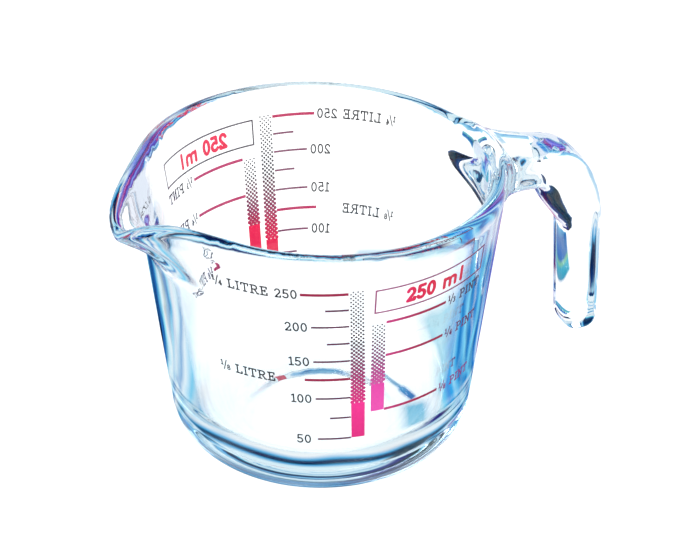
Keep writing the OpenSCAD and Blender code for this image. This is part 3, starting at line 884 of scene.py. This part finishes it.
def inked(words, tall, widen, pen, cell):
    """Flat polygons that cover the pen strokes: points in millimetres and faces."""
    lines, length = strokes(words, widen)
    xs = np.arange(-pen, length * tall + pen, cell)
    ys = np.arange(-ROOM * tall - pen, (1 + ROOM) * tall + pen, cell)
    gx, gy = np.meshgrid(xs, ys, indexing="ij")
    value = np.full(gx.shape, NO_INK)
    for line, weight in lines:
        for a, b in zip(line, line[1:]):
            reach = to_line(gx, gy, (a[0] * tall, a[1] * tall), (b[0] * tall, b[1] * tall))
            value = np.minimum(value, reach - weight * pen / 2)
    found, spots, faces = {}, [], []

    def spot(i, j, k, l):
        """Number of the point where the outline cuts a grid edge, or of a grid point itself."""
        key = (i, j, k, l)
        if key not in found:
            va, vb = value[i, j], value[k, l]
            s = 0.0 if (i, j) == (k, l) else va / (va - vb)
            found[key] = len(spots)
            spots.append((gx[i, j] + s * (gx[k, l] - gx[i, j]), gy[i, j] + s * (gy[k, l] - gy[i, j])))
        return found[key]

    count = (value < 0).astype(int)
    for i, j in np.argwhere(count[:-1, :-1] + count[1:, :-1] + count[1:, 1:] + count[:-1, 1:] > 0):
        ring = [(i, j), (i + 1, j), (i + 1, j + 1), (i, j + 1)]
        face = []
        for p, q in zip(ring, ring[1:] + ring[:1]):
            if value[p] < 0:
                face.append(spot(*p, *p))
            if (value[p] < 0) != (value[q] < 0):
                face.append(spot(*min(p, q), *max(p, q)))
        if len(face) > 2:
            faces.append(face)
    return np.array(spots), faces, length * tall


print("that line as polygons:", len(inked("1/4 LITRE", WORD_H, WORD_WIDE, PEN, WORD_CELL)[1]))

# %% Wrap lettering onto the wall
def on_wall(flat, start, level, lean):
    """Bearing and level of flat points on the wall; the level follows the slope of the glass."""
    z = level + flat[:, 1] * math.cos(math.radians(WALL_SLOPE))
    return start + lean * (z - PRINT_MID) + np.degrees(flat[:, 0] / outer_r(level)), z


def lettering(name, lines, finish, tall, widen, pen, cell, lean):
    """One film piece for several lines: (words, bearing, level, side that is fixed)."""
    spots, faces = [], []
    for words, bearing, level, fixed in lines:
        flat, ring, length = inked(words, tall, widen, pen, cell)
        start = bearing - (math.degrees(length / outer_r(level)) if fixed == "right" else 0)
        turn_to, z = on_wall(flat - (0, tall / 2), start, level, lean)
        base = sum(len(s) for s in spots)
        n = len(flat)
        for proud in (FILM_OUT, FILM_IN):
            rr, zz = bend_out(outer_r(z) + proud, z, turn_to)
            turned_by = np.radians(turn_to)
            spots.append(np.column_stack([rr * np.cos(turned_by), rr * np.sin(turned_by), zz]))
        edges = {}
        for face in ring:
            faces.append([base + v for v in face])
            faces.append([base + n + v for v in face[::-1]])
            edges.update({edge: True for edge in zip(face, face[1:] + face[:1])})
        faces += [[base + q, base + p, base + n + p, base + n + q] for p, q in edges if (q, p) not in edges]
    made = piece(name, np.concatenate(spots), faces, finish)
    print(name, len(made.data.polygons), "faces")
    return made


TICK_LEN = {50: 12.0, 100: 12.0, 125: 15.2, 150: 12.0, 200: 12.0, 250: 14.7}
WORD_GAP = {50: 2.0, 100: 1.0, 150: 1.0, 200: 0.9, 250: 0.6}
PINT_LEN, LITRE_GAP, PINT_GAP = 22.5, 9.5, 1.1
FRAME_W, FRAME_H, FRAME_GAP = 44.5, 7.1, 3.2
CAPACITY_H, CAPACITY_WIDE, CAPACITY_PEN, CAPACITY_CELL = 3.9, 1.5, 0.95, 0.16
frame_level = pint_mark[2] + FRAME_GAP + FRAME_H / 2
for side, at, lean, words_ink, capacity_ink in (
        ("front", PRINT_AT, PRINT_LEAN, plum_ink, front_word),
        ("rear", PRINT_AT + PRINT_TURN, 0.0, grey_ink, rear_word)):
    lines = [(str(v), at - TICK_LEN[v] - WORD_GAP[v], mark[v], "right") for v in WORD_GAP]
    lines += [(f"1/{n} LITRE", at - TICK_LEN[v] - LITRE_GAP, mark[v], "right")
              for n, v in ((4, 250), (8, 125))]
    lettering(side + "_metric_lettering", lines, grey_ink, WORD_H, WORD_WIDE, PEN, WORD_CELL, lean)
    pint_end = at + BAR_W * 2 + BAR_GAP + PINT_LEN + PINT_GAP
    lines = [(f"1/{n} PINT", pint_end, z, "left") for n, z in zip((8, 4, 3), pint_mark)]
    lettering(side + "_pint_lettering", lines, words_ink, WORD_H, WORD_WIDE, PEN, WORD_CELL, lean)
    centre = at + BAR_W + BAR_GAP + FRAME_W / 2
    half = math.degrees(strokes("250 ml", CAPACITY_WIDE)[1] * CAPACITY_H / outer_r(frame_level)) / 2
    lettering(side + "_capacity", [("250 ml", centre - half, frame_level, "left")], capacity_ink,
              CAPACITY_H, CAPACITY_WIDE, CAPACITY_PEN, CAPACITY_CELL, 0.0)

# %% [markdown]
# ## Floor, light and surroundings
# The jug stands on a pale floor in soft studio light. Clear glass has no colour of its own and shows
# what lies around it. Light that goes straight through finds the white floor. Light that is turned
# round inside the glass finds the rest of the studio, and a glass photographer sets dark and
# coloured cards there on purpose: curved glass squeezes them into the thin lines that draw the edges
# of rim, wall and foot. Here blue and dark cards lie left and right of the jug, rings lie before
# and behind it, and level strips hang above, with a violet card among them for the right side of the
# foot. Only light that the glass has turned sees them.

# %% Floor
FLOOR_FAR, FLOOR_DROP, THROUGH_GLOW = 3.0, 0.0003, 0.2
floor_mesh = bpy.data.meshes.new("floor")
corners = [(a * FLOOR_FAR, b * FLOOR_FAR, -FLOOR_DROP) for a, b in ((-1, -1), (1, -1), (1, 1), (-1, 1))]
floor_mesh.from_pydata(corners, [], [(0, 1, 2, 3)])
floor = bpy.data.objects.new("floor", floor_mesh)
scene.collection.objects.link(floor)
paper, tree = new_material("pale_floor")
floor_mesh.materials.append(paper)
where = add(tree, "ShaderNodeTexCoord")
path = add(tree, "ShaderNodeLightPath")
matt = add(tree, "ShaderNodeBsdfDiffuse", {"Color": ink("#F4F4F4")})
glow = add(tree, "ShaderNodeEmission", {
    "Strength": maths(tree, "MULTIPLY", path.outputs["Is Transmission Ray"], THROUGH_GLOW)})
bare = add(tree, "ShaderNodeAddShader", {0: matt.outputs[0], 1: glow.outputs[0]})
print("bare floor ready")

# %% Colours of the cards round the jug
# edges of the cards wander a little, over about 40 mm
wander = add(tree, "ShaderNodeTexNoise", {"Vector": where.outputs["Object"], "Scale": 25.0, "Detail": 1.0})
wobble = add(tree, "ShaderNodeMapRange", {
    "Value": wander.outputs["Fac"], "To Min": -8.0, "To Max": 8.0}).outputs[0]
length = add(tree, "ShaderNodeVectorMath", {0: where.outputs["Object"]}, operation="LENGTH").outputs["Value"]
far = maths(tree, "MULTIPLY_ADD", length, 1 / MM, wobble)
spot = add(tree, "ShaderNodeSeparateXYZ", {0: where.outputs["Object"]}).outputs
bearing = maths(tree, "MULTIPLY_ADD", maths(tree, "ARCTAN2", spot["Y"], spot["X"]), math.degrees(1), wobble)
rings = run_of(tree, far,
               (0, WHITE), (24, "#E8FAFF"), (27, "#4AA8DC"), (28.5, "#081440"), (30.5, "#0A1C50"),
               (32, "#48ACE0"), (35, WHITE), (45, "#C8F2FC"), (50, "#40A8E0"), (54, "#081440"),
               (64, "#0C2058"), (68, "#5CC4F0"), (78, WHITE), (88, "#A4E6FA"), (94, "#102C78"),
               (112, "#081440"), (128, "#0A1848"), (140, "#4CB0E4"), (155, WHITE))
right = run_of(tree, bearing,
               (-40, WHITE), (-31, "#C4F2FF"), (-27, "#58CCF4"), (-22, "#1482DC"), (-18, "#30A8EC"),
               (-15, "#A8E4FA"), (-11, "#58BCEC"), (-8, "#1C6CB8"), (-5, "#2A84CC"), (-3, "#48A8E4"),
               (0, "#8AE0FA"), (3, "#1860A8"), (7, "#2A8CE0"), (11, "#E4F6FF"), (14, "#4CA8E8"),
               (17, "#4038C8"), (20, "#0C0C60"), (23, "#8020B0"), (26, "#2418A8"), (29, "#A0A8FF"),
               (33, "#2418A0"), (38, "#C02890"), (43, "#3A18A8"), (48, "#9AA0F4"), (54, WHITE))
lilac = run_of(tree, bearing,
               (-2, "#8AE0FA"), (2, "#1428A0"), (7, "#3A2AD0"), (12, "#8020C0"), (16, "#C81C88"),
               (20, "#2A20B0"), (25, "#5A60E8"), (29, "#B890F4"), (33, "#2418A0"), (38, "#C02890"),
               (43, "#3A18A8"), (48, "#9AA0F4"), (54, WHITE))
left = run_of(tree, bearing,
              (95, WHITE), (106, "#A0E8FC"), (112, "#2F7FC0"), (116, "#06103A"), (121, "#081440"),
              (124, "#2C78C4"), (128, "#1E5CA8"), (131, "#7CDCF6"), (137, WHITE), (143, "#CFF0FA"),
              (147, "#2C86CC"), (152, WHITE), (160, "#70D0F4"), (170, WHITE))
print("colours of the cards ready")

# %% Lay the cards on the floor
# each card with the bearings and the distances in millimetres between which it lies
at_right = window(tree, bearing, -42, -34, 56, 64)
cards = rings
for colour, sector, depth in (
        (right, at_right, (36, 42)),
        (lilac, window(tree, bearing, 12, 15, 56, 64), (36, 42, 60, 66)),
        (left, window(tree, bearing, 92, 98, 164, 172), (36, 42)),
        (ink("#F8F6FF"), at_right, (122, 132)),
        (ink("#080A1E"), window(tree, bearing, -70, -62, -46, -38), (20, 23, 30, 33))):
    cards = over(tree, maths(tree, "MULTIPLY", sector, window(tree, far, *depth)), cards, colour)
bands = add(tree, "ShaderNodeEmission", {"Color": cards})
turned = maths(tree, "GREATER_THAN", path.outputs["Glossy Depth"], 0.5)
print("cards left, right and round about")

# %% [markdown]
# ### Cards that are seen through the glass
# The thick handle works as a lens, and draws the floor behind it small and turned over. So four more
# cards lie there: a blue one for the strap's top edge, a pale one for the outline of the bend, a dark
# one for its hollow, and a blue, green and teal one for the leg. Only light that went in and out of
# the glass once sees them, so the view through two walls stays clear of them.
# Light that goes through two walls passes four surfaces. It finds two pale cards to the right, and on
# the floor under the jug a pale patch and a narrow blue streak of painted light, such as glass gathers from a
# lamp.

# %% Cards seen through the glass
BEHIND, LEG_TURN, PAINTED_STREAK_TURN = 90 + VIEW_TURN, 31.0, -74.0
CARD_EDGE, ONCE, TWICE = 3.0, 2.0, 4.0
# bearing; millimetres along it and to its left; width of the soft edge; colours along it
handle_cards = (
    (BEHIND, (40, 62), (-66, -30), CARD_EDGE, (40, "#3C9CDC"), (62, "#A8E4FA")),
    (BEHIND, (60, 86), (-36, -12), CARD_EDGE, (60, "#A0D4F2"), (76, "#A8D8F4"), (86, "#D8EEFA")),
    (BEHIND, (160, 480), (-400, -92), CARD_EDGE, (160, "#24508C"), (172, "#06081C"), (230, "#06081C"),
     (290, "#143468"), (480, "#1C4888")),
    (LEG_TURN, (112, 142), (-75, -8), CARD_EDGE, (112, "#38A8C4"), (118, "#48BCD0"), (121, "#8CD0A0"),
     (124, "#2C74BC"), (136, "#2C70B8"), (142, "#48A8D8")))
wall_cards_and_painted_light = (
    (BEHIND, (34, 46), (-80, -38), 9.0, (34, "#B4E6F4"), (46, "#BCEAF6")),
    (BEHIND, (6, 32), (-80, -41), 6.0, (6, "#94DAF0"), (32, "#B4E6F4")),
    # the pale patch and the blue streak under the jug are painted light, such as glass gathers from a lamp
    (BEHIND, (-6, 3), (-31, -25), 5.0, (-6, "#94D8F0"), (3, "#80D0F0")),
    (PAINTED_STREAK_TURN, (-5, 5), (25.7, 26.5), 1.0, (-5, "#B8DCF0"), (5, "#64A8D8")),
    (PAINTED_STREAK_TURN, (5, 11), (25.2, 27.0), 1.6, (5, "#60A8DC"), (8, "#3C88CC"), (11, "#2C74C0")))


def with_cards(floor_shader, cards, surfaces):
    """The floor with cards, some of them patches of painted light, that are seen only by light which has
    passed so many glass surfaces.
    """
    colour, cover = ink(WHITE), 0.0
    for turn_deg, along, aside, edge, *run in cards:
        t = math.radians(turn_deg)
        place = [add(tree, "ShaderNodeVectorMath", {0: where.outputs["Object"], 1: Vector(way) / MM},
                     operation="DOT_PRODUCT").outputs["Value"]
                 for way in ((math.cos(t), math.sin(t), 0), (-math.sin(t), math.cos(t), 0))]
        card = maths(tree, "MULTIPLY", *[window(tree, at, low - edge, low, high, high + edge)
                                         for at, (low, high) in zip(place, (along, aside))])
        cover = maths(tree, "MAXIMUM", card, cover)
        colour = over(tree, card, colour, run_of(tree, place[0], *run))
    passed = maths(tree, "COMPARE", path.outputs["Transmission Depth"], surfaces, 0.5)
    pattern = add(tree, "ShaderNodeEmission", {"Color": colour})
    return add(tree, "ShaderNodeMixShader", {
        0: maths(tree, "MULTIPLY", cover, passed), 1: floor_shader, 2: pattern.outputs[0]}).outputs[0]


seen = with_cards(with_cards(bare.outputs[0], handle_cards, ONCE), wall_cards_and_painted_light, TWICE)
whole = add(tree, "ShaderNodeMixShader", {0: turned, 1: seen, 2: bands.outputs[0]})
add(tree, "ShaderNodeOutputMaterial", {"Surface": whole.outputs[0]})
print("floor ready with", len(handle_cards) + len(wall_cards_and_painted_light), "cards more")

# %% [markdown]
# ### Surroundings
# The rest of the studio is white. A picture of a real studio could be wrapped round the scene, but
# strips drawn by height can be placed exactly. Rays that come by way of the glass see them, and soft
# light sees plain white, so the floor stays even.

# %% Surroundings
SOFT_LESS = 0.25
world = bpy.data.worlds.new("studio")
scene.world = world
world.use_nodes = True
tree = world.node_tree
tree.nodes.clear()
where = add(tree, "ShaderNodeTexCoord")
path = add(tree, "ShaderNodeLightPath")
soft_part = maths(tree, "MULTIPLY_ADD", path.outputs["Is Diffuse Ray"], -SOFT_LESS, 1.0)
level = maths(tree, "MULTIPLY_ADD", path.outputs["Is Transmission Ray"], THROUGH_GLOW, soft_part)
white = add(tree, "ShaderNodeBackground", {"Color": ink(WHITE), "Strength": level})
wander = add(tree, "ShaderNodeTexNoise", {"Vector": where.outputs["Generated"], "Scale": 2.0, "Detail": 1.0})
wobble = add(tree, "ShaderNodeMapRange", {
    "Value": wander.outputs["Fac"], "To Min": -0.05, "To Max": 0.05}).outputs[0]
split = add(tree, "ShaderNodeSeparateXYZ", {0: where.outputs["Generated"]}).outputs
strips = run_of(tree, maths(tree, "ADD", split["Z"], wobble),
                (0.15, WHITE), (0.17, "#A8E0F6"), (0.18, "#102C6C"), (0.19, "#A8E0F6"), (0.21, WHITE),
                (0.27, WHITE), (0.285, "#90D4F2"), (0.295, "#3C98D8"), (0.31, WHITE), (0.37, WHITE),
                (0.385, "#70C4EC"), (0.395, "#081440"), (0.405, "#70C4EC"), (0.42, WHITE),
                (0.465, "#D0F2FC"), (0.48, "#3C98D8"), (0.49, "#0E2C70"), (0.50, "#60C0EC"), (0.52, WHITE),
                (0.585, WHITE), (0.60, "#7890A8"), (0.615, WHITE), (0.64, WHITE), (0.68, "#60D0E4"),
                (0.71, "#0E3C80"), (0.76, "#061034"), (0.83, "#0A1C58"), (0.87, "#34A0E4"),
                (0.91, "#B8F0FC"), (0.95, "#102A80"), (1.0, "#50B8EC"))
# the violet card runs from light to dark round the jug, and starts halfway up the sky
sky_turn = maths(tree, "MULTIPLY", maths(tree, "ARCTAN2", split["Y"], split["X"]), math.degrees(1))
violet = run_of(tree, sky_turn, (82, "#5048A0"), (92, "#3A2078"), (102, "#140C30"), (112, "#08080E"),
                (128, "#060C1C"))
hung = maths(tree, "MULTIPLY", window(tree, sky_turn, 80, 87, 126, 134), window(tree, split["Z"], 0.42, 0.5))
banded = add(tree, "ShaderNodeBackground", {"Color": over(tree, hung, strips, violet)})
by_glass = maths(tree, "MAXIMUM", path.outputs["Is Glossy Ray"], path.outputs["Is Transmission Ray"])
above = add(tree, "ShaderNodeMapRange", {"Value": split["Z"], "From Min": 0.05, "From Max": 0.15}).outputs[0]
both = add(tree, "ShaderNodeMixShader", {
    0: maths(tree, "MULTIPLY", by_glass, above), 1: white.outputs[0], 2: banded.outputs[0]})
add(tree, "ShaderNodeOutputWorld", {"Surface": both.outputs[0]})
print("surroundings ready")

# %% [markdown]
# ### Lamps
# Two round soft lamps, a stronger one at the left and a weaker one at the right, give the enamel its
# sheen. They are about a metre wide, because a small bulb would show in the glass as a hard white dot.

# %% Lamps
def softbox(name, turn_deg, rise_deg, far_m, size_m, watts):
    """Round soft lamp that looks at the jug; turn and rise say where it hangs."""
    lamp = bpy.data.lights.new(name, "AREA")
    lamp.shape, lamp.size, lamp.energy = "DISK", size_m, watts
    made = bpy.data.objects.new(name, lamp)
    t, e = math.radians(turn_deg), math.radians(rise_deg)
    way = Vector((math.sin(t) * math.cos(e), -math.cos(t) * math.cos(e), math.sin(e)))
    made.location = way * far_m
    made.rotation_euler = way.to_track_quat("Z", "Y").to_euler()
    scene.collection.objects.link(made)
    return made


softbox("key_softbox", turn_deg=-60, rise_deg=55, far_m=1.6, size_m=0.9, watts=16.0)
softbox("fill_softbox", turn_deg=70, rise_deg=45, far_m=1.8, size_m=1.1, watts=8.0)
print("lamps ready")
